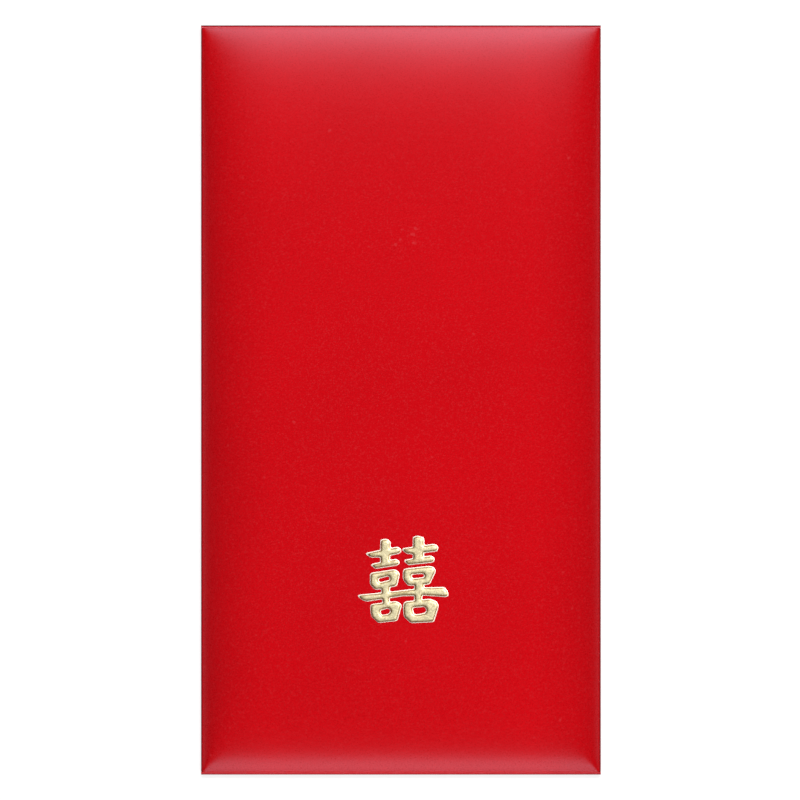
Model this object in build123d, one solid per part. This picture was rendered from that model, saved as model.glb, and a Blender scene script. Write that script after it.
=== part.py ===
"""Gift envelope of folded card: a crowned front, two lapped back wings, two end flaps and a foil ornament.

The envelope lies on its back with the front up. X is its width, Y its length with the mouth at +Y, Z is up.
"""

import os

from build123d import *

# Closed envelope, in millimetres
envelope_width = 88.0
envelope_length = 165.0
card = 0.3
glue_film = 0.1

# Crown of the front panel; the powers set how tightly it rolls down to each crease
crown_height = 5.0
crown_side_power = 8
crown_foot_power = 18
crown_head_power = 8
crown_columns = 24
crown_rows = 34

# Back wings and their glued centre seam
seam_lap = 10.0
seam_joggle = 2.0
seam_joggle_clearance = 0.6
seam_glue_width = 7.0
seam_glue_end_clearance = 3.0
wing_end_clearance = 0.1
wing_foot_dip = 1.2
throat_dip = 18.0

# Bottom flap, glued over the wings
bottom_flap_depth = 30.0
bottom_flap_taper = 7.0
bottom_flap_corner = 6.0
bottom_flap_side_inset = 0.2
bottom_glue_inset = 2.5
bottom_glue_width = 5.0
bottom_glue_fold_clearance = 4.0

# Closing flap, hinged on the top crease
closing_flap_depth = 36.0
closing_flap_taper = 5.0
closing_flap_corner = 11.0
closing_flap_side_inset = 0.2

# Foil ornament on the front
ornament_width = 19.75
ornament_shift = 0.46
ornament_below_middle = 39.2
foil_height = 0.4

# Each stroke or hole is stretched round a few corner rounds: across, up and radius, as shares of that width
left_upper_shares = (
    (
        (-0.234, 0.428, 0.018), (-0.182, 0.424, 0.024), (-0.164, 0.402, 0.027), (-0.165, 0.170, 0.020),
        (-0.232, 0.170, 0.020),
    ),
    (
        (-0.399, 0.284, 0.013), (-0.070, 0.330, 0.032), (-0.046, 0.318, 0.028), (-0.062, 0.306, 0.026),
        (-0.240, 0.272, 0.028), (-0.345, 0.270, 0.028),
    ),
    (
        (-0.343, 0.160, 0.013), (-0.086, 0.199, 0.029), (-0.065, 0.186, 0.027), (-0.075, 0.176, 0.022),
        (-0.240, 0.152, 0.025), (-0.298, 0.145, 0.026),
    ),
)
right_upper_shares = (
    (
        (0.129, 0.456, 0.022), (0.160, 0.458, 0.027), (0.202, 0.438, 0.034), (0.206, 0.205, 0.022),
        (0.128, 0.205, 0.021),
    ),
    (
        (0.003, 0.332, 0.015), (0.330, 0.359, 0.035), (0.354, 0.350, 0.036), (0.356, 0.340, 0.032),
        (0.100, 0.308, 0.030), (0.048, 0.309, 0.026),
    ),
    (
        (0.025, 0.206, 0.014), (0.304, 0.232, 0.034), (0.318, 0.220, 0.032), (0.316, 0.214, 0.028),
        (0.110, 0.191, 0.027), (0.065, 0.186, 0.027),
    ),
)
upper_box_shares = (
    (
        (-0.338, 0.049, 0.028), (-0.104, 0.068, 0.044), (-0.084, 0.054, 0.046), (-0.092, -0.046, 0.032),
        (-0.290, -0.066, 0.048), (-0.316, -0.035, 0.051),
    ),
    (
        (0.034, 0.086, 0.036), (0.270, 0.104, 0.046), (0.308, 0.094, 0.052), (0.276, -0.026, 0.030),
        (0.075, -0.024, 0.045), (0.046, 0.020, 0.049),
    ),
)
stem_shares = (
    ((-0.228, -0.080, 0.018), (-0.162, -0.080, 0.018), (-0.164, -0.240, 0.016), (-0.212, -0.250, 0.016)),
    (
        (0.142, -0.040, 0.018), (0.212, -0.040, 0.018), (0.218, -0.090, 0.018), (0.192, -0.215, 0.016),
        (0.140, -0.225, 0.016),
    ),
)
long_bar_shares = (
    ((-0.488, -0.182, 0.014), (0.020, -0.149, 0.032), (-0.395, -0.210, 0.034), (-0.432, -0.206, 0.030)),
    ((-0.030, -0.153, 0.033), (0.260, -0.133, 0.044)),
    (
        (0.220, -0.132, 0.044), (0.436, -0.124, 0.042), (0.464, -0.146, 0.034), (0.482, -0.170, 0.021),
        (0.460, -0.172, 0.022),
    ),
)
lower_box_shares = (
    (
        (-0.334, -0.296, 0.028), (-0.084, -0.276, 0.037), (-0.060, -0.296, 0.043),
        (-0.082, -0.436, 0.026), (-0.260, -0.436, 0.045), (-0.304, -0.390, 0.050),
        (-0.326, -0.340, 0.038),
    ),
    (
        (0.042, -0.280, 0.040), (0.290, -0.260, 0.047), (0.336, -0.286, 0.054), (0.340, -0.298, 0.053),
        (0.328, -0.454, 0.018), (0.105, -0.436, 0.047), (0.060, -0.385, 0.056), (0.040, -0.330, 0.040),
    ),
)
joined_base_shares = upper_box_shares + stem_shares + long_bar_shares + lower_box_shares
joined_base_hole_shares = (
    ((-0.258, -0.002, 0.013), (-0.163, 0.020, 0.014), (-0.162, 0.008, 0.014), (-0.252, -0.016, 0.013)),
    ((0.106, 0.042, 0.012), (0.218, 0.049, 0.014), (0.218, 0.039, 0.014), (0.112, 0.025, 0.012)),
    (
        (-0.233, -0.356, 0.016), (-0.166, -0.338, 0.017), (-0.159, -0.348, 0.017),
        (-0.174, -0.364, 0.017), (-0.226, -0.373, 0.016),
    ),
    (
        (0.126, -0.328, 0.016), (0.226, -0.320, 0.017), (0.238, -0.332, 0.017), (0.232, -0.350, 0.018),
        (0.170, -0.365, 0.017), (0.134, -0.365, 0.017),
    ),
)

# Levels, from the outer flaps up to the front panel
wing_level = card + glue_film
lap_level = wing_level + card + glue_film
panel_level = lap_level + card
panel_top = panel_level + card

# Fold radii and the crease lines that they leave
side_fold_outer = (panel_top - wing_level) / 2
side_fold_inner = side_fold_outer - card
side_fold_level = wing_level + side_fold_outer
end_fold_outer = panel_top / 2
end_fold_inner = end_fold_outer - card
side_crease = envelope_width / 2 - side_fold_outer
head_crease = envelope_length / 2 - end_fold_outer
foot_crease = -head_crease
panel_length = head_crease - foot_crease


def crown(x, y):
    """Rise of the front panel above its creases: a side roll and two end rolls, mitred softly at the corners."""
    across = abs(x) / side_crease
    along = (y - foot_crease) / panel_length
    side = 1 - across**crown_side_power
    foot = 1 - (1 - along) ** crown_foot_power
    head = 1 - along**crown_head_power
    end = foot * head
    if side * end <= 0:
        return 0
    return crown_height * side * end / (side + end - side * end)


def crowned_face(level):
    """The crown as one face whose four edges are at the given level."""
    grid = []
    for row in range(crown_rows + 1):
        along = row / crown_rows
        y = foot_crease + panel_length * along
        line = []
        for column in range(crown_columns + 1):
            x = side_crease * (2 * column / crown_columns - 1)
            line.append(Vector(x, y, level + crown(x, y)))
        grid.append(line)
    return Face.make_surface_from_array_of_points(grid, tol=card / 100)


def fold_ring(outer, inner, depth):
    """Half a tube along Z on the +X side of the origin: a card folded back on itself."""
    ring = Circle(outer) - Circle(inner)
    half = Pos(outer / 2, 0) * Rectangle(outer, 2 * outer)
    return extrude(ring & half, depth)


def front_panel():
    return Solid.extrude(crowned_face(panel_level), Vector(0, 0, card))


def wing_outline(inner_edge):
    """Plan of the +X wing, from its fold to the given inner edge, with a curved throat and foot."""
    foot = foot_crease + wing_end_clearance
    head = head_crease - wing_end_clearance
    outer_edge = envelope_width / 2
    throat = ThreePointArc((side_crease, head), (0, head - throat_dip), (-side_crease, head))
    left = Polyline((-side_crease, head), (-outer_edge, head), (-outer_edge, foot), (-side_crease, foot))
    lower = ThreePointArc((-side_crease, foot), (0, foot + wing_foot_dip), (side_crease, foot))
    right = Polyline((side_crease, foot), (outer_edge, foot), (outer_edge, head), (side_crease, head))
    plan = make_face(throat + left + lower + right)
    reach = outer_edge - inner_edge
    return plan & Pos(inner_edge + reach / 2, 0) * Rectangle(reach, envelope_length)


def wing(profile, inner_edge):
    """A wing on the +X side: its fold and its flat, cut to plan."""
    fold = fold_ring(side_fold_outer, side_fold_inner, envelope_length)
    fold = Pos(side_crease, envelope_length / 2, side_fold_level) * Rot(90, 0, 0) * fold
    flat = extrude(Plane.XZ * profile, envelope_length / 2, both=True)
    plan = extrude(wing_outline(inner_edge), panel_top)
    return (fold + flat) & plan


def right_wing():
    reach = side_crease + seam_lap / 2
    profile = Pos(side_crease - reach / 2, wing_level + card / 2) * Rectangle(reach, card)
    return wing(profile, -seam_lap / 2)


def left_wing():
    """Mirrored to -X: it steps inward beside the seam, and runs on under the other wing's lap."""
    step_end = seam_lap / 2 + seam_joggle_clearance
    step_start = step_end + seam_joggle
    flat_run = [(side_crease, wing_level), (step_start, wing_level)]
    lap_run = [(step_end, lap_level), (-seam_lap / 2, lap_level)]
    under = flat_run + lap_run
    over = [(x, z + card) for x, z in reversed(under)]
    profile = make_face(Polyline(*under, *over, close=True))
    return mirror(wing(profile, -seam_lap / 2), Plane.YZ)


def seam_glue():
    foot = foot_crease + wing_end_clearance + wing_foot_dip + seam_glue_end_clearance
    head = head_crease - wing_end_clearance - throat_dip - seam_glue_end_clearance
    strip = Pos(0, (foot + head) / 2) * Rectangle(seam_glue_width, head - foot)
    return Pos(0, 0, wing_level + card) * extrude(strip, glue_film)


def flap_outline(root_half, tip_half, depth, corner):
    """Plan of a flap that starts on the X axis and runs to +Y, with two rounded corners."""
    root = [(-root_half, 0), (root_half, 0)]
    tip = [(tip_half, depth), (-tip_half, depth)]
    plan = make_face(Polyline(*root, *tip, close=True))
    return fillet(plan.vertices().group_by(Axis.Y)[-1], corner)


def bottom_flap_plan():
    root_half = envelope_width / 2 - bottom_flap_side_inset
    tip_half = root_half - bottom_flap_taper
    return flap_outline(root_half, tip_half, bottom_flap_depth, bottom_flap_corner)


def bottom_flap():
    root_width = envelope_width - 2 * bottom_flap_side_inset
    fold = fold_ring(end_fold_outer, end_fold_inner, root_width)
    fold = Pos(-root_width / 2, foot_crease, end_fold_outer) * Rot(0, 90, 0) * Rot(0, 0, -90) * fold
    flat = Pos(0, foot_crease) * extrude(bottom_flap_plan(), card)
    return fold + flat


def bottom_flap_glue():
    """A band just inside the flap's three free edges."""
    outer = offset(bottom_flap_plan(), -bottom_glue_inset)
    inner = offset(bottom_flap_plan(), -bottom_glue_inset - bottom_glue_width)
    inner = inner + Pos(0, -bottom_glue_width) * inner
    keep_depth = bottom_flap_depth - bottom_glue_fold_clearance
    keep = Pos(0, bottom_glue_fold_clearance + keep_depth / 2) * Rectangle(envelope_width, keep_depth)
    band = (outer - inner) & keep
    return Pos(0, foot_crease, card) * extrude(band, glue_film)


def closing_flap():
    root_half = envelope_width / 2 - closing_flap_side_inset
    tip_half = root_half - closing_flap_taper
    plan = flap_outline(root_half, tip_half, closing_flap_depth, closing_flap_corner)
    return Pos(0, head_crease) * extrude(mirror(plan, Plane.XZ), card)


def top_crease():
    root_width = envelope_width - 2 * closing_flap_side_inset
    fold = fold_ring(end_fold_outer, end_fold_inner, root_width)
    return Pos(-root_width / 2, head_crease, end_fold_outer) * Rot(0, 90, 0) * Rot(0, 0, 90) * fold


def stretched(round_shares):
    """Plan of one stroke or hole: a line stretched round its corner rounds."""
    edges = []
    for across, up, radius in round_shares:
        corner = Circle(radius * ornament_width)
        edges += (Pos(across * ornament_width, up * ornament_width) * corner).edges()
    return make_hull(edges)


def foil(strokes, holes=()):
    """An embossed island, cut underneath to sit on the crown."""
    plan = Sketch()
    for round_shares in strokes:
        plan = plan + stretched(round_shares)
    for round_shares in holes:
        plan = plan - stretched(round_shares)
    top = panel_top + crown_height + foil_height
    pad = Pos(ornament_shift, -ornament_below_middle, top) * extrude(plan, -2 * foil_height)
    under = Solid.extrude(crowned_face(panel_top), Vector(0, 0, -crown_height))
    return pad - under


nodes = {
    "front_panel": front_panel(),
    "left_wing": left_wing(),
    "right_wing": right_wing(),
    "seam_glue": seam_glue(),
    "bottom_flap": bottom_flap(),
    "bottom_flap_glue": bottom_flap_glue(),
    "closing_flap": closing_flap(),
    "top_crease": top_crease(),
    "foil_left_upper": foil(left_upper_shares),
    "foil_right_upper": foil(right_upper_shares),
    "foil_joined_base": foil(joined_base_shares, joined_base_hole_shares),
}

os.makedirs("parts", exist_ok=True)
for name, shape in nodes.items():
    export_step(shape, f"parts/{name}.step")
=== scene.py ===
"""Looks of the red gift envelope: folded card, glue and embossed foil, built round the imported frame."""

import math

import bpy
import numpy as np
from bpy.props import FloatProperty, FloatVectorProperty, IntProperty, PointerProperty
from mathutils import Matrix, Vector, geometry, noise


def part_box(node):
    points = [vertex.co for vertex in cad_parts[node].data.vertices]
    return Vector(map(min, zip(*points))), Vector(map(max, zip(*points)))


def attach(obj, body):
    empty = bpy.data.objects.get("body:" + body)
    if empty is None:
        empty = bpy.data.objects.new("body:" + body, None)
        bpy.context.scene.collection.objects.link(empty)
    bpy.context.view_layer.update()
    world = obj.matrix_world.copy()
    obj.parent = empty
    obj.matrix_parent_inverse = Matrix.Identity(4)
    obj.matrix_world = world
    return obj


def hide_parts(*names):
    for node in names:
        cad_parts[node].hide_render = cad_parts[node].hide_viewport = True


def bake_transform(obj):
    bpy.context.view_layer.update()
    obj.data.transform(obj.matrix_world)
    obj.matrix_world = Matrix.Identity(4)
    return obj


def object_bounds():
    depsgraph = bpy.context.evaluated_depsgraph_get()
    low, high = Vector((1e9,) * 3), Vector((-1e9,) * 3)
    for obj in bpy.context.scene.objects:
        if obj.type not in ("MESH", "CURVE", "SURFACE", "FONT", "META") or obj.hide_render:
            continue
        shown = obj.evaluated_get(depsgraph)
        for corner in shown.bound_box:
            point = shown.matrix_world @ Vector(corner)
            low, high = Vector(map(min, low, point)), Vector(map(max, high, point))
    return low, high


bl_info = {
    "name": "Red gift envelope",
    "version": (1, 0, 0),
    "blender": (4, 5, 0),
    "location": "3D View > Sidebar > Envelope",
    "description": "Builds the card, folds, glue and foil of a red gift envelope round its packed frame",
    "category": "Object",
}

MM = 0.001
TINY = 1e-6
FOIL_NODES = ("foil_left_upper", "foil_right_upper", "foil_joined_base")
GLUE_NODES = ("seam_glue", "bottom_flap_glue")
FOIL_PIECE = "embossed_"

# Mesh points across and along the card pieces, and round their folds
PANEL_COLUMNS = 89
PANEL_ROWS = 151
WING_COLUMNS = 70
WING_ROWS = 91
FLAP_COLUMNS = 71
FLAP_STRAIGHT_ROWS = 26
FLAP_CORNER_ROWS = 14
SIDE_FOLD_STEPS = 21
END_FOLD_STEPS = 23

# Wear and painted shade round a fold, as angles in radians from the front face
CREST_TURN = 0.3
CREST_SPREAD = 0.2
SHADE_FADE_IN = 0.35
SHADE_END = 2.3
SHADE_FADE_OUT = 0.5

# Margins of the card, and its sharp edges
CALM_MARGIN = 12 * MM
FLAP_INSET = 0.02 * MM
CARD_SHARP_ANGLE = math.radians(40)

# Sampling of the foil's relief
RELIEF_STEP = 0.05 * MM
RELIEF_MARGIN = 1.2 * MM
RELIEF_TOLERANCE = 0.01 * MM
TOP_TOLERANCE = 0.002 * MM
SETTLING_STEPS = 14
LEAST_SLOPE = 0.05
LEAST_SQUARE = 1e-16
LEAST_LOOP = 8

# Mesh of the foil: rings as shares of its slope, and gaps as shares of the mesh spacing
SLOPE_RINGS = (0.22, 0.5, 1.0)
CLOSEST_POINTS = 0.6
FILLING_ROW = 0.866
FILLING_CLEARANCE = 0.3
FOIL_SINK = 0.02 * MM
FOIL_SHARP_ANGLE = math.radians(50)

# Shape of the relief: shares of its foot and slope, and the dents in its plateau
SLOPE_FADE = 0.15
FOOT_SHARE = 0.4
DOME_START = 0.6
DOME_RUN = 0.8
DENTS_PER_MM = 1.6
DENTS_LAYER = 3.0

# Bands of a noise texture: most of its range, and the middle of it
BROAD = (0.3, 0.7)
NARROW = (0.35, 0.65)

# A faint scuff on the face
SCUFF_PLACE = (0.9 * MM, 35 * MM, 6 * MM)
SCUFF_CORE = 1 * MM
SCUFF_REACH = 7 * MM

# The stage: its floor, where that turns white, the heights of its white horizon, and its camera
FLOOR_HALF = 4.0
WHITE_START = 0.12
WHITE_END = 0.7
HORIZON_SEEN = (0.3, 0.2)
HORIZON_MIRRORED = (0.1, 0.03)
SENSOR_WIDTH = 36
CAMERA_SHIFT = -0.207 * MM

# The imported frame, its box, and the sizes that the card pieces take from it
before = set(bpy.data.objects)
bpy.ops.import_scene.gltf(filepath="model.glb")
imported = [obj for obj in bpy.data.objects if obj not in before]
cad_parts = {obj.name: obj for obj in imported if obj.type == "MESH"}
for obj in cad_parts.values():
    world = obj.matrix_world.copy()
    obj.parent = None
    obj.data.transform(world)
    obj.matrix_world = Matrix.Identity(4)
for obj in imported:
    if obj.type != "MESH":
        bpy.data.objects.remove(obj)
cad_low, cad_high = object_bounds()
panel_low, panel_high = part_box("front_panel")
wing_low, wing_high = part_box("right_wing")
left_wing_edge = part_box("left_wing")[1].x
bottom_flap_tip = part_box("bottom_flap")[1].y
flap_low, flap_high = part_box("closing_flap")
card_size = flap_high.z - flap_low.z
panel_top = panel_low.z + card_size
side_crease = panel_high.x
head_crease = panel_high.y
foot_crease = panel_low.y
wing_level = wing_low.z
lap_level = panel_low.z - card_size
side_fold_outer = (panel_top - wing_level) / 2
side_fold_inner = side_fold_outer - card_size
side_fold_level = wing_level + side_fold_outer
end_fold_outer = panel_top / 2
end_fold_inner = end_fold_outer - card_size
flap_root = cad_high.x - FLAP_INSET


class EnvelopeCard(bpy.types.PropertyGroup):
    """Form of the folded card."""

    crown_side_power: IntProperty(
        name="Side roll",
        description="How tightly the crown rolls down to its side creases",
        default=8,
        min=2,
    )
    crown_foot_power: IntProperty(
        name="Foot roll",
        description="How tightly the crown rolls down to its foot crease",
        default=18,
        min=2,
    )
    crown_head_power: IntProperty(
        name="Head roll",
        description="How tightly the crown rolls down to its head crease",
        default=8,
        min=2,
    )
    foot_mitre: FloatProperty(
        name="Foot mitre",
        description="Crispness of the crown's corners at the foot",
        default=5.0,
        min=1.0,
    )
    wave: FloatProperty(
        name="Waviness",
        description="Height of the slow waves in the card",
        default=0.03 * MM,
        unit="LENGTH",
    )
    joggle: FloatProperty(
        name="Seam step",
        description="Width over which the inner wing steps in",
        default=2 * MM,
        unit="LENGTH",
    )
    joggle_clearance: FloatProperty(
        name="Seam step clearance",
        description="Gap from the lap to that step",
        default=0.6 * MM,
        unit="LENGTH",
    )
    throat_dip: FloatProperty(
        name="Throat dip",
        description="Depth of the curved throat of the wings",
        default=18 * MM,
        unit="LENGTH",
    )
    foot_dip: FloatProperty(
        name="Foot dip",
        description="Depth of the curved foot of the wings",
        default=1.2 * MM,
        unit="LENGTH",
    )
    bottom_corner: FloatProperty(
        name="Bottom flap corner",
        description="Corner radius of the bottom flap",
        default=6 * MM,
        unit="LENGTH",
    )
    bottom_taper: FloatProperty(
        name="Bottom flap taper",
        description="Narrowing of the bottom flap",
        default=7 * MM,
        unit="LENGTH",
    )
    closing_corner: FloatProperty(
        name="Closing flap corner",
        description="Corner radius of the closing flap",
        default=11 * MM,
        unit="LENGTH",
    )
    closing_taper: FloatProperty(
        name="Closing flap taper",
        description="Narrowing of the closing flap",
        default=5 * MM,
        unit="LENGTH",
    )
    hinge_gap: FloatProperty(
        name="Hinge gap",
        description="Room between the hinge line and the flap",
        default=0.06 * MM,
        unit="LENGTH",
    )


class EnvelopeFoil(bpy.types.PropertyGroup):
    """Relief of the embossed foil."""

    rim_width: FloatProperty(
        name="Rim width",
        description="Width of the flat foot round each stroke",
        default=0.18 * MM,
        unit="LENGTH",
    )
    rim_height: FloatProperty(
        name="Rim height",
        description="Height of that foot above the card",
        default=0.04 * MM,
        unit="LENGTH",
    )
    slope_width: FloatProperty(
        name="Slope width",
        description="Width of the rounded slope",
        default=0.42 * MM,
        unit="LENGTH",
    )
    dome: FloatProperty(
        name="Dome",
        description="Rise of the plateau from its shoulder to its middle",
        default=0.05 * MM,
        unit="LENGTH",
    )
    dent: FloatProperty(
        name="Dents",
        description="Depth of the small dents in the plateau",
        default=0.012 * MM,
        unit="LENGTH",
    )
    softness: FloatProperty(
        name="Softness",
        description="Rounding of the corners",
        default=0.16 * MM,
        unit="LENGTH",
    )
    spacing: FloatProperty(
        name="Mesh spacing",
        description="Distance between mesh points",
        default=0.14 * MM,
        unit="LENGTH",
    )


class EnvelopeFinish(bpy.types.PropertyGroup):
    """Colours of the envelope."""

    card: FloatVectorProperty(
        name="Card",
        description="Outer face of the card",
        subtype="COLOR",
        default=(0.67, 0.0005, 0.004),
    )
    worn: FloatVectorProperty(
        name="Worn card",
        description="Ink rubbed thin on creases and flecks",
        subtype="COLOR",
        default=(0.72, 0.08, 0.09),
    )
    inside: FloatVectorProperty(
        name="Inside",
        description="Uncoated inner face",
        subtype="COLOR",
        default=(0.55, 0.018, 0.022),
    )
    cut_edge: FloatVectorProperty(
        name="Cut edge",
        description="Bare edge of the card",
        subtype="COLOR",
        default=(0.62, 0.06, 0.06),
    )
    foil: FloatVectorProperty(
        name="Foil",
        description="Champagne foil",
        subtype="COLOR",
        default=(0.93, 0.82, 0.5),
    )
    # Painted shade: a dark brown laid on the foil's slopes, where the relief's shadowed sides fall.
    foil_slope_shade: FloatVectorProperty(
        name="Foil slope",
        description="Foil stretched thin over a slope",
        subtype="COLOR",
        default=(0.42, 0.22, 0.0),
    )
    # Painted highlight: a near-white laid on the flat foot round each stroke.
    foil_rim_highlight: FloatVectorProperty(
        name="Foil foot",
        description="Burnished foot of the foil",
        subtype="COLOR",
        default=(0.97, 0.93, 0.84),
    )
    glue: FloatVectorProperty(
        name="Glue",
        description="Dried glue",
        subtype="COLOR",
        default=(0.85, 0.82, 0.74),
    )


class EnvelopeStage(bpy.types.PropertyGroup):
    """Camera and light."""

    view_width: FloatProperty(
        name="View width",
        description="Width that the camera takes in",
        default=176.15 * MM,
        unit="LENGTH",
    )
    lens: FloatProperty(
        name="Lens",
        description="Focal length in millimetres",
        default=135,
        unit="CAMERA",
    )
    head_power: FloatProperty(
        name="Head light",
        description="Power of the head softbox",
        default=9.2,
        unit="POWER",
    )
    foot_power: FloatProperty(
        name="Foot light",
        description="Power of the foot softbox",
        default=3.9,
        unit="POWER",
    )
    fill_power: FloatProperty(
        name="Fill light",
        description="Power of the fill softbox",
        default=2.3,
        unit="POWER",
    )
    foil_power: FloatProperty(
        name="Foil light",
        description="Power of the foil softbox",
        default=17.2,
        unit="POWER",
    )


class Finish:
    """A node material, or a world, while it is put together."""

    def __init__(self, name, kind="materials"):
        self.block = getattr(bpy.data, kind).new(name)
        self.block.use_nodes = True
        self.tree = self.block.node_tree
        self.tree.nodes.clear()

    def node(self, kind, inputs=(), **settings):
        """Adds a node, with its settings, and links or sets its inputs."""
        made = self.tree.nodes.new(kind)
        for name, value in settings.items():
            setattr(made, name, value)
        for name, value in dict(inputs).items():
            if isinstance(value, bpy.types.NodeSocket):
                self.tree.links.new(value, made.inputs[name])
            else:
                made.inputs[name].default_value = value
        return made

    def place(self):
        """Where a point lies on the object."""
        return self.node("ShaderNodeTexCoord").outputs["Object"]

    def mark(self, name):
        """A value kept at each point of the mesh."""
        return self.node("ShaderNodeAttribute", attribute_name=name).outputs["Fac"]

    def noise(self, place, scale, detail=2.0, roughness=0.5):
        values = {"Vector": place, "Scale": scale, "Detail": detail, "Roughness": roughness}
        return self.node("ShaderNodeTexNoise", values).outputs["Fac"]

    def span(self, value, low, high, to_low=0.0, to_high=1.0):
        """Takes a value from one range to another, and holds it inside that."""
        values = {"Value": value, "From Min": low, "From Max": high, "To Min": to_low, "To Max": to_high}
        return self.node("ShaderNodeMapRange", values).outputs["Result"]

    def sum(self, first, second):
        return self.node("ShaderNodeMath", {0: first, 1: second}).outputs[0]

    def product(self, first, second):
        return self.node("ShaderNodeMath", {0: first, 1: second}, operation="MULTIPLY").outputs[0]

    def mix(self, share, first, second):
        values = {0: share, 6: first, 7: second}
        return self.node("ShaderNodeMix", values, data_type="RGBA").outputs[2]

    def bump(self, height, strength, distance, normal=None):
        values = {"Height": height, "Strength": strength, "Distance": distance}
        if normal is not None:
            values["Normal"] = normal
        return self.node("ShaderNodeBump", values).outputs["Normal"]

    def principled(self, values):
        return self.surface(self.node("ShaderNodeBsdfPrincipled", values).outputs[0])

    def surface(self, shader, output="ShaderNodeOutputMaterial"):
        self.node(output, {"Surface": shader})
        return self.block


def colour(values, share=1.0):
    """A socket's colour: the given one, or a share of it."""
    return (*(value * share for value in values), 1.0)


def grey(level):
    return colour((level,) * 3)


def card_ink(made, place, grain, finish):
    """Printed red: slow clouding, fine speckle, and painted shade darkening it towards the sides."""
    cloud = made.noise(place, scale=38, detail=3)
    tone = made.mix(made.span(cloud, *BROAD), colour(finish.card, 0.94), colour(finish.card))
    across = made.node("ShaderNodeSeparateXYZ", {0: place}).outputs["X"]
    across = made.node("ShaderNodeMath", {0: across}, operation="ABSOLUTE").outputs[0]
    # Painted shade: the red is made darker towards the side creases.
    painted_side_shade = made.span(across, 0.66 * side_crease, side_crease, to_low=1.0, to_high=0.83)
    speckle = made.span(grain, *BROAD, to_low=-0.095, to_high=0.095)
    value = made.sum(speckle, painted_side_shade)
    return made.node("ShaderNodeHueSaturation", {"Color": tone, "Value": value}).outputs[0]


def card_flecks(made, place, tone, finish):
    """Pale bloom in the grain, stray flecks, and more of them round a scuff."""
    worn = colour(finish.worn)
    bloom = made.noise(place, scale=2900, roughness=0.7)
    tone = made.mix(made.span(bloom, 0.52, 0.74, to_high=0.2), tone, worn)
    away = made.node("ShaderNodeVectorMath", {0: place, 1: SCUFF_PLACE}, operation="DISTANCE")
    scuffed = made.span(away.outputs["Value"], SCUFF_CORE, SCUFF_REACH, to_low=0.2, to_high=0)
    fleck = made.sum(made.noise(place, scale=520, detail=1, roughness=0.4), scuffed)
    return made.mix(made.span(fleck, 0.775, 0.83, to_high=0.24), tone, worn)


def card_outside(finish):
    """Satin face: fine grain, slow clouding, stray flecks, creases rubbed pale by wear, and painted shade
    darkening the outside of the folds.
    """
    made = Finish("red_satin_card")
    place = made.place()
    grain = made.noise(place, scale=3000, detail=3, roughness=0.7)
    tooth = made.noise(place, scale=9000)
    tone = card_ink(made, place, grain, finish)
    tone = card_flecks(made, place, tone, finish)

    wear = made.mark("wear")
    patchy = made.span(made.noise(place, scale=900, detail=3, roughness=0.6), 0.2, 0.6, to_low=0.4)
    rubbed = made.product(made.span(wear, 0, 1), patchy)
    # Painted shade: the part of the mark below 0 darkens the outside of each fold, and roughens it there.
    painted_fold_shade = made.span(wear, 0, -1)
    tone = made.mix(made.product(rubbed, 0.5), tone, colour(finish.worn))
    # Painted shade: the outside of each fold is darkened towards a deep red.
    tone = made.mix(made.product(painted_fold_shade, 0.85), tone, colour(finish.card, 0.12))

    normal = made.bump(grain, strength=0.25, distance=0.02 * MM)
    normal = made.bump(tooth, strength=0.15, distance=0.006 * MM, normal=normal)
    rough = made.span(grain, *BROAD, to_low=0.265, to_high=0.3)
    rough = made.sum(rough, made.product(painted_fold_shade, 0.6))
    values = {"Base Color": tone, "Roughness": rough, "Normal": normal}
    values["Specular IOR Level"] = 0.28
    values["Specular Tint"] = (0.79, 0.79, 1.0, 1.0)
    return made.principled(values)


def card_inside(finish):
    """Uncoated inner face: matte, with short fibres."""
    made = Finish("red_card_inside")
    place = made.place()
    fibre = made.noise(place, scale=3500, detail=4, roughness=0.65)
    cloud = made.noise(place, scale=120, detail=3)
    share = made.span(made.sum(fibre, cloud), 0.7, 1.3)
    tone = made.mix(share, colour(finish.inside, 0.85), colour(finish.inside))
    normal = made.bump(fibre, strength=0.4, distance=0.03 * MM)
    return made.principled(
        {"Base Color": tone, "Roughness": 0.85, "Normal": normal, "Specular IOR Level": 0.25}
    )


def card_cut_edge(finish):
    """Die-cut edge: the paler core of the card, with torn fibres."""
    made = Finish("card_cut_edge")
    fibre = made.noise(made.place(), scale=12000, detail=3, roughness=0.7)
    tone = made.mix(made.span(fibre, *NARROW), colour(finish.cut_edge, 0.7), colour(finish.cut_edge))
    normal = made.bump(fibre, strength=0.5, distance=0.02 * MM)
    return made.principled(
        {"Base Color": tone, "Roughness": 0.9, "Normal": normal, "Specular IOR Level": 0.2}
    )


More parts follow.
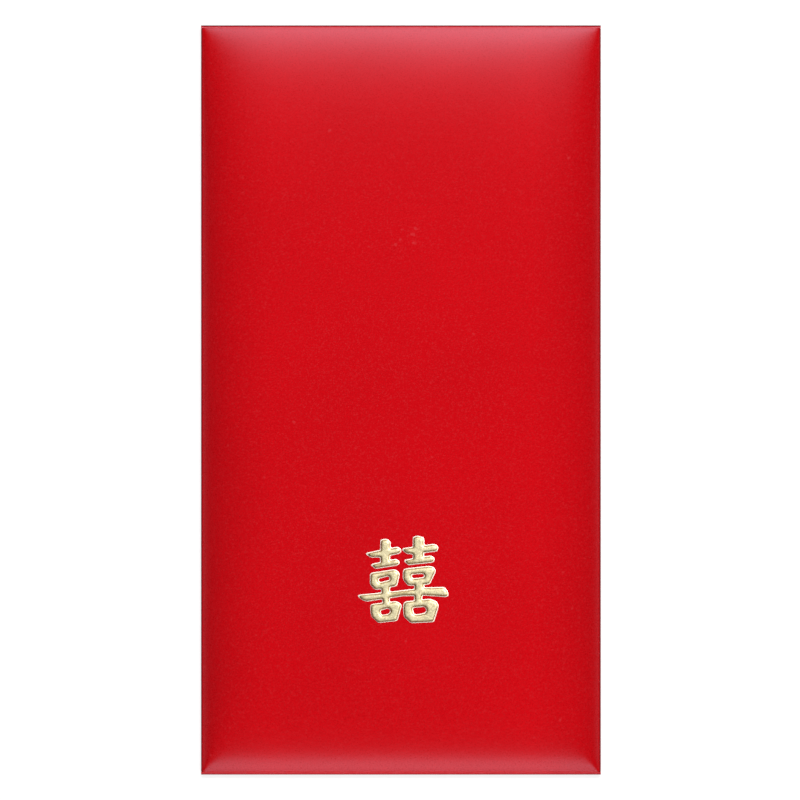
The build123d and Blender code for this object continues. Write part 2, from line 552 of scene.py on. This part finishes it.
def champagne_foil(finish):
    """Hot-stamped foil: a soft metal with a mottled, dimpled grain, painted shade making it browner on its
    slopes, and a painted highlight on its foot.
    """
    made = Finish("champagne_foil")
    place = made.place()
    mottle = made.noise(place, scale=2300, detail=3, roughness=0.65)
    sparkle = made.noise(place, scale=5200, detail=3, roughness=0.7)
    speck = made.product(made.span(mottle, *NARROW), made.span(sparkle, *NARROW))
    tone = made.mix(made.span(speck, 0.0, 0.5), colour(finish.foil, 0.64), colour(finish.foil))
    slope = made.mark("slope")
    # Painted shade: the slopes of the relief are tinted darker brown.
    tone = made.mix(made.span(slope, 0, 0.6, to_high=0.7), tone, colour(finish.foil_slope_shade))
    # Painted highlight: the flat foot round each stroke is tinted near-white.
    tone = made.mix(made.mark("foot"), tone, colour(finish.foil_rim_highlight))
    metal = made.span(slope, 0, 0.5, to_low=0.3)
    normal = made.bump(mottle, strength=0.6, distance=0.05 * MM)
    normal = made.bump(sparkle, strength=0.5, distance=0.03 * MM, normal=normal)
    rough = made.span(sparkle, *BROAD, to_low=0.42, to_high=0.56)
    return made.principled(
        {"Base Color": tone, "Metallic": metal, "Roughness": rough, "Normal": normal}
    )


def dried_glue(finish):
    """Dried paste: cloudy, with small bubbles."""
    made = Finish("dried_glue")
    cloud = made.noise(made.place(), scale=700, detail=3, roughness=0.6)
    tone = made.mix(cloud, colour(finish.glue, 0.8), colour(finish.glue))
    normal = made.bump(cloud, strength=0.3, distance=0.03 * MM)
    return made.principled({"Base Color": tone, "Roughness": 0.6, "Normal": normal})


def shared_material(maker, name, finish):
    """The material of that name, made the first time it is asked for."""
    return bpy.data.materials.get(name) or maker(finish)


def card_materials(finish):
    """Materials of the outside, the inside and the cut edges, in that order."""
    return [
        shared_material(card_outside, "red_satin_card", finish),
        shared_material(card_inside, "red_card_inside", finish),
        shared_material(card_cut_edge, "card_cut_edge", finish),
    ]


def smooth(share):
    """A share eased at both ends, and held between 0 and 1."""
    share = np.clip(share, 0, 1)
    return share * share * (3 - 2 * share)


def eased(count, bias):
    """Shares from 0 to 1 that crowd towards both ends."""
    share = np.linspace(0, 1, count)
    return (1 - bias) * share + bias * (1 - np.cos(math.pi * share)) / 2


def crown(card, x, y):
    """Rise of the front panel above its creases: side and end rolls, mitred crisper at the foot."""
    across = np.abs(x) / side_crease
    along = np.clip((y - foot_crease) / (head_crease - foot_crease), 0, 1)
    side = np.maximum(1 - across**card.crown_side_power, TINY)
    foot = 1 - (1 - along) ** card.crown_foot_power
    head = 1 - along**card.crown_head_power
    end = np.maximum(foot * head, TINY)
    crisp = card.foot_mitre + (1 - card.foot_mitre) * smooth(along)
    return (panel_high.z - panel_top) * (side**-crisp + end**-crisp - 1) ** (-1 / crisp)


def slow_wave(x, y):
    """Slow, even waves of handled card, from -1 to 1."""
    first = np.sin(2 * math.pi * (x / (61 * MM) + y / (83 * MM) + 0.13))
    second = np.sin(2 * math.pi * (x / (37 * MM) - y / (52 * MM) + 0.41))
    third = np.sin(2 * math.pi * (x / (100 * MM) + y / (29 * MM)))
    return 0.5 * first + 0.3 * second + 0.2 * third


def grid(x, y, z):
    """Points of a grid, from coordinates that vary along its rows, its columns or both."""
    return np.stack(np.broadcast_arrays(x, y, z), -1)


def sheet_faces(outer, inner):
    """Faces of a closed sheet between two grids of points: outside, inside and rim."""
    rows, columns = outer.shape[:2]
    count = rows * columns
    index = np.arange(count).reshape(rows, columns)
    quads = np.stack([index[:-1, :-1], index[:-1, 1:], index[1:, 1:], index[1:, :-1]], -1).reshape(-1, 4)
    border = np.concatenate([index[0, :-1], index[:-1, -1], index[-1, :0:-1], index[:0:-1, 0]])
    after = np.roll(border, -1)
    rim = np.stack([after, border, border + count, after + count], -1)
    row = rows // 2
    column = columns // 2
    middle = outer[row, column]
    normal = np.cross(outer[row, column + 1] - middle, outer[row + 1, column] - middle)
    if np.dot(normal, middle - inner[row, column]) < 0:
        quads = quads[:, ::-1]
        rim = rim[:, ::-1]
    return quads, quads[:, ::-1] + count, rim


def add_mark(mesh, name, values):
    """Keeps a value at each point of a mesh, for its material to read."""
    mark = mesh.attributes.new(name, "FLOAT", "POINT")
    mark.data.foreach_set("value", values.astype(np.float32))


def card_piece(name, outer, inner, wear, finish):
    """A closed sheet between two grids of points, finished on its outside, inside and cut edges."""
    parts = sheet_faces(outer, inner)
    faces = np.concatenate(parts).tolist()
    points = np.concatenate([outer.reshape(-1, 3), inner.reshape(-1, 3)]).tolist()
    mesh = bpy.data.meshes.new(name)
    mesh.from_pydata(points, [], faces)
    mesh.polygons.foreach_set("use_smooth", [True] * len(faces))
    slots = [slot for slot, part in enumerate(parts) for _ in part]
    mesh.polygons.foreach_set("material_index", slots)
    for material in card_materials(finish):
        mesh.materials.append(material)
    # The mark holds wear above 0 and painted fold shade below 0, on the outer face only.
    add_mark(mesh, "wear", np.concatenate([wear.ravel(), 0 * wear.ravel()]))
    mesh.set_sharp_from_angle(angle=CARD_SHARP_ANGLE)
    mesh.validate()
    piece = bpy.data.objects.new(name, mesh)
    bpy.context.scene.collection.objects.link(piece)
    return piece


def fold(outer, inner, steps, rubbed, painted_fold_shade, shade_start):
    """Stations round a half turn of folded card: out and up for both faces, and wear with painted shade.

    The mark is above 0 on the crest rubbed by wear, and below 0 where painted shade darkens the outside of
    the fold.
    """
    turn = np.linspace(0, math.pi, steps)
    out = np.stack([np.sin(turn), np.cos(turn)], -1)
    crest = rubbed * np.exp(-(((turn - CREST_TURN) / CREST_SPREAD) ** 2))
    shade_band = smooth((turn - shade_start) / SHADE_FADE_IN) * smooth((SHADE_END - turn) / SHADE_FADE_OUT)
    return out * outer, out * inner, crest - painted_fold_shade * shade_band


def bow(x, dip):
    """Share of its dip that an arc between the two side creases has at x."""
    radius = (side_crease**2 + dip**2) / (2 * dip)
    reach = np.minimum(np.abs(x), side_crease)
    return 1 - (radius - np.sqrt(radius**2 - reach**2)) / dip


def flap_half_width(run, taper, depth, corner):
    """Half width of a tapered flap with rounded corners, by distance from its crease."""
    slant = math.hypot(depth, taper)
    centre = depth - corner
    middle = flap_root - taper * centre / depth - corner * slant / depth
    touch = centre + corner * taper / slant
    arc = middle + np.sqrt(np.maximum(corner**2 - (run - centre) ** 2, 0))
    return np.where(run > touch, arc, flap_root - taper * run / depth)


def flap_runs(depth, corner):
    """Distances from the crease to the tip, closer together round the corners."""
    straight = (depth - corner) * eased(FLAP_STRAIGHT_ROWS, bias=0.5)[:-1]
    turn = np.linspace(0, math.pi / 2, FLAP_CORNER_ROWS)
    return np.concatenate([straight, depth - corner + corner * np.sin(turn)])


class ENVELOPE_OT_front_panel(bpy.types.Operator):
    """Crowned front of the envelope"""

    bl_idname = "envelope.front_panel"
    bl_label = "Front panel"

    def execute(self, context):
        card = context.scene.envelope_card
        x = side_crease * (2 * eased(PANEL_COLUMNS, bias=0.75) - 1)[None, :]
        y = (foot_crease + (head_crease - foot_crease) * eased(PANEL_ROWS, bias=0.6))[:, None]
        edge = np.minimum(side_crease - np.abs(x), np.minimum(y - foot_crease, head_crease - y))
        calm = smooth(edge / CALM_MARGIN)
        rise = crown(card, x, y) + card.wave * calm * slow_wave(x, y)
        outer = grid(x, y, panel_top + rise)
        inner = grid(x, y, panel_low.z + rise)
        piece = card_piece("card_front_panel", outer, inner, 0 * rise, context.scene.envelope_finish)
        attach(piece, "envelope")
        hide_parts("front_panel")
        return {"FINISHED"}


class ENVELOPE_OT_wings(bpy.types.Operator):
    """Two back wings with their side folds and lapped seam"""

    bl_idname = "envelope.wings"
    bl_label = "Back wings"

    def execute(self, context):
        self.wing(context, "card_right_wing", "right_wing", side=1, reach=wing_low.x, steps_in=False)
        self.wing(context, "card_left_wing", "left_wing", side=-1, reach=-left_wing_edge, steps_in=True)
        return {"FINISHED"}

    def wing(self, context, name, node, side, reach, steps_in):
        """One wing: a half turn round the side crease, then flat, or stepped in, to its seam edge."""
        card = context.scene.envelope_card
        round_outer, round_inner, round_wear_and_shade = fold(
            side_fold_outer, side_fold_inner, SIDE_FOLD_STEPS, rubbed=0.0, painted_fold_shade=0.6, shade_start=0.1
        )
        run = side_crease + (reach - side_crease) * eased(WING_COLUMNS, bias=0.4)[1:]
        lap = -wing_low.x + card.joggle_clearance
        step = smooth((lap + card.joggle - run) / card.joggle) * (lap_level - wing_level)
        level = wing_level + (step if steps_in else 0 * step)
        outer_x = np.concatenate([side_crease + round_outer[:, 0], run])
        inner_x = np.concatenate([side_crease + round_inner[:, 0], run])
        outer_z = np.concatenate([side_fold_level + round_outer[:, 1], level])
        inner_z = np.concatenate([side_fold_level + round_inner[:, 1], level + card_size])
        head = wing_high.y - card.throat_dip * bow(outer_x, card.throat_dip)
        foot = wing_low.y + card.foot_dip * bow(outer_x, card.foot_dip)
        y = foot + (head - foot) * eased(WING_ROWS, bias=0.5)[:, None]
        outer = grid(side * outer_x[None, :], y, outer_z[None, :])
        inner = grid(side * inner_x[None, :], y, inner_z[None, :])
        wear = np.concatenate([round_wear_and_shade, 0 * run])[None, :] + 0 * y
        piece = card_piece(name, outer, inner, wear, context.scene.envelope_finish)
        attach(piece, "envelope")
        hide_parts(node)


class ENVELOPE_OT_flaps(bpy.types.Operator):
    """Bottom flap with its fold, closing flap, and the crease that it turns on"""

    bl_idname = "envelope.flaps"
    bl_label = "End flaps"

    def execute(self, context):
        card = context.scene.envelope_card
        finish = context.scene.envelope_finish
        across = (2 * eased(FLAP_COLUMNS, bias=0.4) - 1)[None, :]
        self.bottom_flap(card, finish, across)
        self.closing_flap(card, finish, across)
        self.top_crease(card, finish, across)
        return {"FINISHED"}

    def bottom_flap(self, card, finish, across):
        """A half turn round the foot crease, then flat over the wings to the tip."""
        round_outer, round_inner, round_wear_and_shade = fold(
            end_fold_outer, end_fold_inner, END_FOLD_STEPS, rubbed=1.0, painted_fold_shade=0.6, shade_start=0.6
        )
        depth = bottom_flap_tip - foot_crease
        run = flap_runs(depth, card.bottom_corner)[1:]
        half = flap_half_width(run, card.bottom_taper, depth, card.bottom_corner)
        half = np.concatenate([0 * round_wear_and_shade + flap_root, half])[:, None]
        outer_y = np.concatenate([foot_crease - round_outer[:, 0], foot_crease + run])[:, None]
        inner_y = np.concatenate([foot_crease - round_inner[:, 0], foot_crease + run])[:, None]
        outer_z = np.concatenate([end_fold_outer + round_outer[:, 1], 0 * run])[:, None]
        inner_z = np.concatenate([end_fold_outer + round_inner[:, 1], 0 * run + card_size])[:, None]
        wear = np.concatenate([round_wear_and_shade, 0 * run])[:, None] + 0 * across
        outer = grid(half * across, outer_y, outer_z)
        inner = grid(half * across, inner_y, inner_z)
        bottom = card_piece("card_bottom_flap", outer, inner, wear, finish)
        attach(bottom, "envelope")
        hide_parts("bottom_flap")

    def closing_flap(self, card, finish, across):
        """Flat flap from just past the hinge line to its tip."""
        depth = head_crease - flap_low.y
        run = np.maximum(flap_runs(depth, card.closing_corner), card.hinge_gap)
        half = flap_half_width(run, card.closing_taper, depth, card.closing_corner)[:, None]
        x = half * across
        y = (head_crease - run)[:, None]
        outer = grid(x, y, flap_low.z)
        inner = grid(x, y, flap_high.z)
        closing = card_piece("card_closing_flap", outer, inner, 0 * x, finish)
        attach(closing, "flap")
        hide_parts("closing_flap")

    def top_crease(self, card, finish, across):
        """The half turn at the head, where the closing flap is hinged."""
        round_outer, round_inner, round_wear_and_shade = fold(
            end_fold_outer, end_fold_inner, END_FOLD_STEPS, rubbed=1.0, painted_fold_shade=1.0, shade_start=0.42
        )
        round_outer = np.concatenate([round_outer, round_outer[-1:] - (card.hinge_gap, 0)])
        round_inner = np.concatenate([round_inner, round_inner[-1:] - (card.hinge_gap, 0)])
        wear = np.append(round_wear_and_shade, 0)[:, None] + 0 * across
        x = flap_root * across
        outer = grid(x, head_crease + round_outer[:, :1], end_fold_outer + round_outer[:, 1:])
        inner = grid(x, head_crease + round_inner[:, :1], end_fold_outer + round_inner[:, 1:])
        crease = card_piece("card_top_crease", outer, inner, wear, finish)
        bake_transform(crease)
        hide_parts("top_crease")


class ENVELOPE_OT_glue(bpy.types.Operator):
    """Dried glue between the wings and under the bottom flap"""

    bl_idname = "envelope.glue"
    bl_label = "Glue"

    def execute(self, context):
        material = shared_material(dried_glue, "dried_glue", context.scene.envelope_finish)
        for name in GLUE_NODES:
            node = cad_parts[name]
            node.data.materials.clear()
            node.data.materials.append(material)
        return {"FINISHED"}


def pad_outlines(node):
    """Closed outlines of the flat top of a foil node, as arrays of points."""
    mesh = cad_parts[node].data
    top = max(v.co.z for v in mesh.vertices)
    edges = {}
    for face in mesh.polygons:
        corners = [mesh.vertices[i].co for i in face.vertices]
        if min(c.z for c in corners) < top - TOP_TOLERANCE:
            continue
        keys = [(round(c.x / MM, 3), round(c.y / MM, 3)) for c in corners]
        for a, b in zip(keys, keys[1:] + keys[:1]):
            if edges.get(b) and a in edges[b]:
                edges[b].remove(a)
            else:
                edges.setdefault(a, []).append(b)
    outlines = []
    starts = [a for a, ends in edges.items() if ends]
    for start in starts:
        loop = []
        at = start
        while edges.get(at):
            loop.append(at)
            at = edges[at].pop()
        if len(loop) > 2:
            outlines.append(np.array(loop) * MM)
    return outlines


class Relief:
    """Depth inside a set of outlines, sampled on a fine grid and softened."""

    def __init__(self, outlines, step, margin, softness):
        points = np.concatenate(outlines)
        self.step = step
        self.low = points.min(0) - margin
        columns, rows = np.ceil((points.max(0) + margin - self.low) / step).astype(int) + 1
        xs = self.low[0] + step * np.arange(columns)
        ys = self.low[1] + step * np.arange(rows)
        away = np.full((rows, columns), margin)
        inside = np.zeros((rows, columns), bool)
        for outline in outlines:
            for a, b in zip(outline, np.roll(outline, -1, 0)):
                run = b - a
                first = np.maximum(((np.minimum(a, b) - margin - self.low) / step).astype(int), 0)
                last = ((np.maximum(a, b) + margin - self.low) / step).astype(int) + 2
                window = slice(first[1], last[1]), slice(first[0], last[0])
                gx = xs[None, window[1]] - a[0]
                gy = ys[window[0], None] - a[1]
                share = np.clip((gx * run[0] + gy * run[1]) / max(run @ run, LEAST_SQUARE), 0, 1)
                distance = np.hypot(gx - share * run[0], gy - share * run[1])
                away[window] = np.minimum(away[window], distance)
                crossed = (ys >= min(a[1], b[1])) & (ys < max(a[1], b[1]))
                if crossed.any():
                    where = a[0] + (ys[crossed] - a[1]) * run[0] / run[1]
                    inside[crossed] ^= xs[None, :] < where[:, None]
        self.depth = self.soften(np.where(inside, away, -away), softness / step)
        self.slope = np.gradient(self.depth, step)

    def soften(self, field, sigma):
        """Blurs a field by a bell curve, whose width is given in steps."""
        reach = int(math.ceil(3 * sigma))
        weights = np.exp(-0.5 * (np.arange(-reach, reach + 1) / sigma) ** 2)
        weights /= weights.sum()
        for axis in (0, 1):
            padded = np.pad(field, [(reach, reach) if a == axis else (0, 0) for a in (0, 1)], "edge")
            size = field.shape[axis]
            parts = [w * np.take(padded, range(i, i + size), axis) for i, w in enumerate(weights)]
            field = np.sum(parts, 0)
        return field

    def read(self, field, points):
        """Values of a field at points between its samples."""
        place = (points - self.low) / self.step
        column = np.clip(place[:, 0].astype(int), 0, field.shape[1] - 2)
        row = np.clip(place[:, 1].astype(int), 0, field.shape[0] - 2)
        u = place[:, 0] - column
        v = place[:, 1] - row
        near = field[row, column] * (1 - u) + field[row, column + 1] * u
        far = field[row + 1, column] * (1 - u) + field[row + 1, column + 1] * u
        return near * (1 - v) + far * v

    def at(self, points):
        return self.read(self.depth, points)

    def settle(self, points, level):
        """Moves points along the slope until they lie at that depth."""
        for _ in range(SETTLING_STEPS):
            slope = np.stack([self.read(self.slope[1], points), self.read(self.slope[0], points)], -1)
            size = np.maximum((slope**2).sum(1), LEAST_SLOPE)
            points = points + ((level - self.at(points)) / size)[:, None] * slope
        return points


def resampled(outline, spacing):
    """Points at an even spacing along a closed outline."""
    closed = np.concatenate([outline, outline[:1]])
    lengths = np.concatenate([[0], np.cumsum(np.linalg.norm(np.diff(closed, axis=0), axis=1))])
    count = max(LEAST_LOOP, int(round(lengths[-1] / spacing)))
    places = np.linspace(0, lengths[-1], count, endpoint=False)
    return np.stack([np.interp(places, lengths, closed[:, i]) for i in (0, 1)], -1)


class Scatter:
    """Points kept so far, sorted into square cells so that near ones are found quickly."""

    def __init__(self, gap):
        self.gap = gap
        self.cells = {}

    def cell(self, point):
        return int(point[0] // self.gap), int(point[1] // self.gap)

    def keep(self, point):
        self.cells.setdefault(self.cell(point), []).append(point)

    def near(self, point):
        column, row = self.cell(point)
        cells = [(column + i, row + j) for i in (-1, 0, 1) for j in (-1, 0, 1)]
        return [other for cell in cells for other in self.cells.get(cell, ())]

    def spread(self, points):
        """Those points that keep the gap to every point kept so far."""
        found = []
        for point in points:
            apart = [(point[0] - p[0]) ** 2 + (point[1] - p[1]) ** 2 for p in self.near(point)]
            if all(square >= self.gap * self.gap for square in apart):
                self.keep(point)
                found.append(point)
        return found


def island_points(outlines, relief, foil):
    """Mesh points of a foil island, and its edge loops: rings down its slope, and an even filling."""
    scatter = Scatter(CLOSEST_POINTS * foil.spacing)
    points = []
    edges = []
    for outline in outlines:
        loop = relief.settle(resampled(outline, foil.spacing), 0)
        first = len(points)
        points += list(loop)
        edges += [(first + i, first + (i + 1) % len(loop)) for i in range(len(loop))]
        for point in loop:
            scatter.keep(point)
    levels = [0.5 * foil.rim_width, foil.rim_width]
    levels += [foil.rim_width + foil.slope_width * share for share in SLOPE_RINGS]
    for level in levels:
        for outline in outlines:
            ring = relief.settle(resampled(outline, foil.spacing), level)
            settled = np.abs(relief.at(ring) - level) < RELIEF_TOLERANCE
            points += scatter.spread(ring[settled])
    low = np.concatenate(outlines).min(0)
    high = np.concatenate(outlines).max(0)
    columns = np.arange(low[0], high[0], foil.spacing)
    rows = np.arange(low[1], high[1], foil.spacing * FILLING_ROW)
    gx, gy = np.meshgrid(columns, rows)
    gx[1::2] += foil.spacing / 2
    filling = np.stack([gx.ravel(), gy.ravel()], -1)
    filling = filling[relief.at(filling) > levels[-1] + FILLING_CLEARANCE * foil.spacing]
    points += scatter.spread(filling)
    return points, edges


def island_plan(points, edges, relief):
    """Flat mesh of a foil island: its points, and triangles that all turn the same way."""
    flat = [Vector(p / MM) for p in points]
    flat, _, triangles, _, _, _ = geometry.delaunay_2d_cdt(flat, edges, [], 0, TINY)
    plan = np.array([(p.x, p.y) for p in flat]) * MM
    triangles = np.array([list(t) for t in triangles])
    triangles = triangles[relief.at(plan[triangles].mean(1)) > 0]
    used, triangles = np.unique(triangles, return_inverse=True)
    triangles = triangles.reshape(-1, 3)
    plan = plan[used]
    a, b, c = (plan[triangles[:, i]] for i in range(3))
    turned = (b - a)[:, 0] * (c - a)[:, 1] - (b - a)[:, 1] * (c - a)[:, 0] < 0
    triangles[turned] = triangles[turned][:, ::-1]
    return plan, triangles


def island_walls(triangles, count):
    """Quads that close the outer edges of the triangles down to a second layer of points."""
    directed = set()
    for a, b, c in triangles.tolist():
        directed.update(((a, b), (b, c), (c, a)))
    border = sorted((a, b) for a, b in directed if (b, a) not in directed)
    return [(b, a, a + count, b + count) for a, b in border]


class ENVELOPE_OT_foil(bpy.types.Operator):
    """Embossed foil ornament in three islands"""

    bl_idname = "envelope.foil"
    bl_label = "Foil ornament"

    def execute(self, context):
        for name in FOIL_NODES:
            self.island(context, name)
        return {"FINISHED"}

    def island(self, context, node):
        """One island of foil: an embossed sheet on the crowned card, closed underneath."""
        scene = context.scene
        foil = scene.envelope_foil
        outlines = pad_outlines(node)
        relief = Relief(outlines, RELIEF_STEP, RELIEF_MARGIN, foil.softness)
        points, edges = island_points(outlines, relief, foil)
        plan, triangles = island_plan(points, edges, relief)
        depth = np.maximum(relief.at(plan), 0)
        climb = np.clip((depth - foil.rim_width) / foil.slope_width, 0, 1)
        rise = self.rise(foil, plan, depth, climb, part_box(node)[1].z - panel_high.z)
        base = panel_top + crown(scene.envelope_card, plan[:, 0], plan[:, 1])
        count = len(plan)
        top = np.concatenate([plan, (base + rise)[:, None]], 1)
        under = np.concatenate([plan, (base - FOIL_SINK)[:, None]], 1)
        faces = triangles.tolist() + (triangles[:, ::-1] + count).tolist() + island_walls(triangles, count)
        mesh = bpy.data.meshes.new(FOIL_PIECE + node)
        mesh.from_pydata(np.concatenate([top, under]).tolist(), [], faces)
        mesh.polygons.foreach_set("use_smooth", [True] * len(faces))
        add_mark(mesh, "slope", np.tile(smooth(climb / SLOPE_FADE) * (1 - climb) ** 2, 2))
        add_mark(mesh, "foot", np.tile(1 - smooth(depth / foil.rim_width - FOOT_SHARE), 2))
        mesh.set_sharp_from_angle(angle=FOIL_SHARP_ANGLE)
        mesh.validate()
        mesh.materials.append(shared_material(champagne_foil, "champagne_foil", scene.envelope_finish))
        piece = bpy.data.objects.new(FOIL_PIECE + node, mesh)
        scene.collection.objects.link(piece)
        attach(piece, "envelope")
        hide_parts(node)

    def rise(self, foil, plan, depth, climb, height):
        """Height above the card: a flat foot, a rounded slope, and a domed plateau with small dents."""
        total = foil.rim_width + foil.slope_width
        shoulder = height - foil.dome - foil.rim_height
        rise = foil.rim_height * smooth(depth / (0.5 * foil.rim_width)) ** 0.5
        rise = rise + shoulder * np.sqrt(1 - (1 - climb) ** 2)
        rise = rise + foil.dome * smooth((depth - DOME_START * total) / (DOME_RUN * total))
        places = [Vector((*(p / MM * DENTS_PER_MM), DENTS_LAYER)) for p in plan]
        dents = np.array([noise.noise(place) for place in places])
        return rise + foil.dent * dents * smooth(climb)


def softbox(name, place, aim, width, height, power):
    """Rectangular lamp aimed at a point, and not seen by the camera."""
    light = bpy.data.lights.new(name, "AREA")
    light.shape = "RECTANGLE"
    light.size = width
    light.size_y = height
    light.energy = power
    lamp = bpy.data.objects.new(name, light)
    lamp.location = place
    lamp.rotation_mode = "QUATERNION"
    lamp.rotation_quaternion = (Vector(aim) - Vector(place)).to_track_quat("-Z", "Y")
    lamp.visible_camera = False
    bpy.context.scene.collection.objects.link(lamp)
    return lamp


def light_only(lamp, pieces):
    """Lets a lamp light the given pieces alone."""
    group = bpy.data.collections.new(lamp.name + "_pieces")
    for piece in pieces:
        group.objects.link(piece)
    lamp.light_linking.receiver_collection = group


def studio_floor():
    """White sweep: lit near the object, so that it keeps a shadow, and plain white further out."""
    made = Finish("studio_floor")
    place = made.place()
    away = made.node("ShaderNodeVectorMath", {0: place}, operation="LENGTH").outputs["Value"]
    grain = made.noise(place, scale=300)
    tone = made.mix(made.span(grain, *BROAD), grey(0.45), grey(0.47))
    diffuse = made.node("ShaderNodeBsdfDiffuse", {"Color": tone}).outputs[0]
    path = made.node("ShaderNodeLightPath").outputs
    seen = made.sum(path["Is Camera Ray"], path["Is Glossy Ray"])
    seen = made.sum(seen, path["Is Transmission Ray"])
    lift = made.product(seen, made.span(away, WHITE_START, WHITE_END, to_low=0.66))
    glow = made.node("ShaderNodeEmission", {"Strength": lift}).outputs[0]
    both = made.node("ShaderNodeAddShader", {0: diffuse, 1: glow}).outputs[0]
    return made.surface(both)


def studio_world():
    """Dim room with a white horizon: tall for the camera, low for reflections."""
    made = Finish("studio", "worlds")
    place = made.node("ShaderNodeTexCoord").outputs["Generated"]
    up = made.node("ShaderNodeSeparateXYZ", {0: place}).outputs["Z"]
    path = made.node("ShaderNodeLightPath").outputs
    seen = made.sum(path["Is Camera Ray"], path["Is Transmission Ray"])
    seen = made.product(seen, made.span(up, *HORIZON_SEEN))
    mirrored = made.product(path["Is Glossy Ray"], made.span(up, *HORIZON_MIRRORED))
    dim = made.mix(path["Is Glossy Ray"], grey(0.16), grey(0.06))
    tone = made.mix(made.sum(seen, mirrored), dim, grey(1.0))
    background = made.node("ShaderNodeBackground", {"Color": tone}).outputs[0]
    return made.surface(background, "ShaderNodeOutputWorld")


class ENVELOPE_OT_stage(bpy.types.Operator):
    """White floor, softboxes and the camera"""

    bl_idname = "envelope.stage"
    bl_label = "Stage"

    def execute(self, context):
        scene = context.scene
        scene.view_settings.view_transform = "Standard"
        scene.world = studio_world()
        self.floor(scene)
        self.lamps(scene, scene.envelope_stage)
        self.camera(scene, scene.envelope_stage)
        return {"FINISHED"}

    def floor(self, scene):
        corners = [(FLOOR_HALF * x, FLOOR_HALF * y, 0) for x, y in ((-1, -1), (1, -1), (1, 1), (-1, 1))]
        mesh = bpy.data.meshes.new("studio_floor")
        mesh.from_pydata(corners, [], [(0, 1, 2, 3)])
        mesh.materials.append(studio_floor())
        floor = bpy.data.objects.new("studio_floor", mesh)
        scene.collection.objects.link(floor)

    def lamps(self, scene, settings):
        """Softboxes at the head, foot and side for the card, and one at the upper right for the foil."""
        head = softbox(
            "head_softbox",
            place=(0.12, 0.795, 0.9),
            aim=(0, 0, 0),
            width=0.7,
            height=0.24,
            power=settings.head_power,
        )
        foot = softbox(
            "foot_softbox",
            place=(-0.15, -0.735, 0.407),
            aim=(-0.15, 0, 0),
            width=1.3,
            height=0.2,
            power=settings.foot_power,
        )
        fill = softbox(
            "fill_softbox",
            place=(0.5, 0.1, 0.9),
            aim=(0, 0, 0),
            width=0.6,
            height=0.6,
            power=settings.fill_power,
        )
        fill.visible_glossy = False
        fill.data.cycles.use_multiple_importance_sampling = False
        accent = softbox(
            "foil_softbox",
            place=(0.56, 0.445, 0.7),
            aim=(0, 0, 0),
            width=0.3,
            height=0.3,
            power=settings.foil_power,
        )
        pieces = [o for o in scene.objects if o.type == "MESH"]
        for lamp in (head, foot, fill):
            light_only(lamp, [o for o in pieces if not o.name.startswith(FOIL_PIECE)])
        light_only(accent, [o for o in pieces if o.name.startswith(FOIL_PIECE)])

    def camera(self, scene, settings):
        data = bpy.data.cameras.new("camera")
        data.lens = settings.lens
        data.sensor_width = SENSOR_WIDTH
        camera = bpy.data.objects.new("camera", data)
        distance = settings.view_width * settings.lens / SENSOR_WIDTH
        camera.location = (CAMERA_SHIFT, 0, side_fold_level + distance)
        scene.collection.objects.link(camera)
        scene.camera = camera


class ENVELOPE_PT_sidebar(bpy.types.Panel):
    """Pieces of the envelope and the values that shape them"""

    bl_label = "Red gift envelope"
    bl_idname = "ENVELOPE_PT_sidebar"
    bl_space_type = "VIEW_3D"
    bl_region_type = "UI"
    bl_category = "Envelope"

    def draw(self, context):
        for group in GROUPS:
            values = getattr(context.scene, group)
            box = self.layout.box()
            for name in values.__annotations__:
                box.prop(values, name)
        for operator in OPERATORS:
            self.layout.operator(operator.bl_idname)


GROUPS = {
    "envelope_card": EnvelopeCard,
    "envelope_foil": EnvelopeFoil,
    "envelope_finish": EnvelopeFinish,
    "envelope_stage": EnvelopeStage,
}
OPERATORS = (
    ENVELOPE_OT_front_panel,
    ENVELOPE_OT_wings,
    ENVELOPE_OT_flaps,
    ENVELOPE_OT_glue,
    ENVELOPE_OT_foil,
    ENVELOPE_OT_stage,
)


def register():
    for item in (*GROUPS.values(), *OPERATORS, ENVELOPE_PT_sidebar):
        bpy.utils.register_class(item)
    for name, group in GROUPS.items():
        setattr(bpy.types.Scene, name, PointerProperty(type=group))


def unregister():
    for name in GROUPS:
        delattr(bpy.types.Scene, name)
    for item in (ENVELOPE_PT_sidebar, *OPERATORS[::-1], *GROUPS.values()):
        bpy.utils.unregister_class(item)


def main():
    register()
    bpy.ops.envelope.front_panel()
    bpy.ops.envelope.wings()
    bpy.ops.envelope.flaps()
    bpy.ops.envelope.glue()
    bpy.ops.envelope.foil()
    bpy.ops.envelope.stage()


if __name__ == "__main__":
    main()
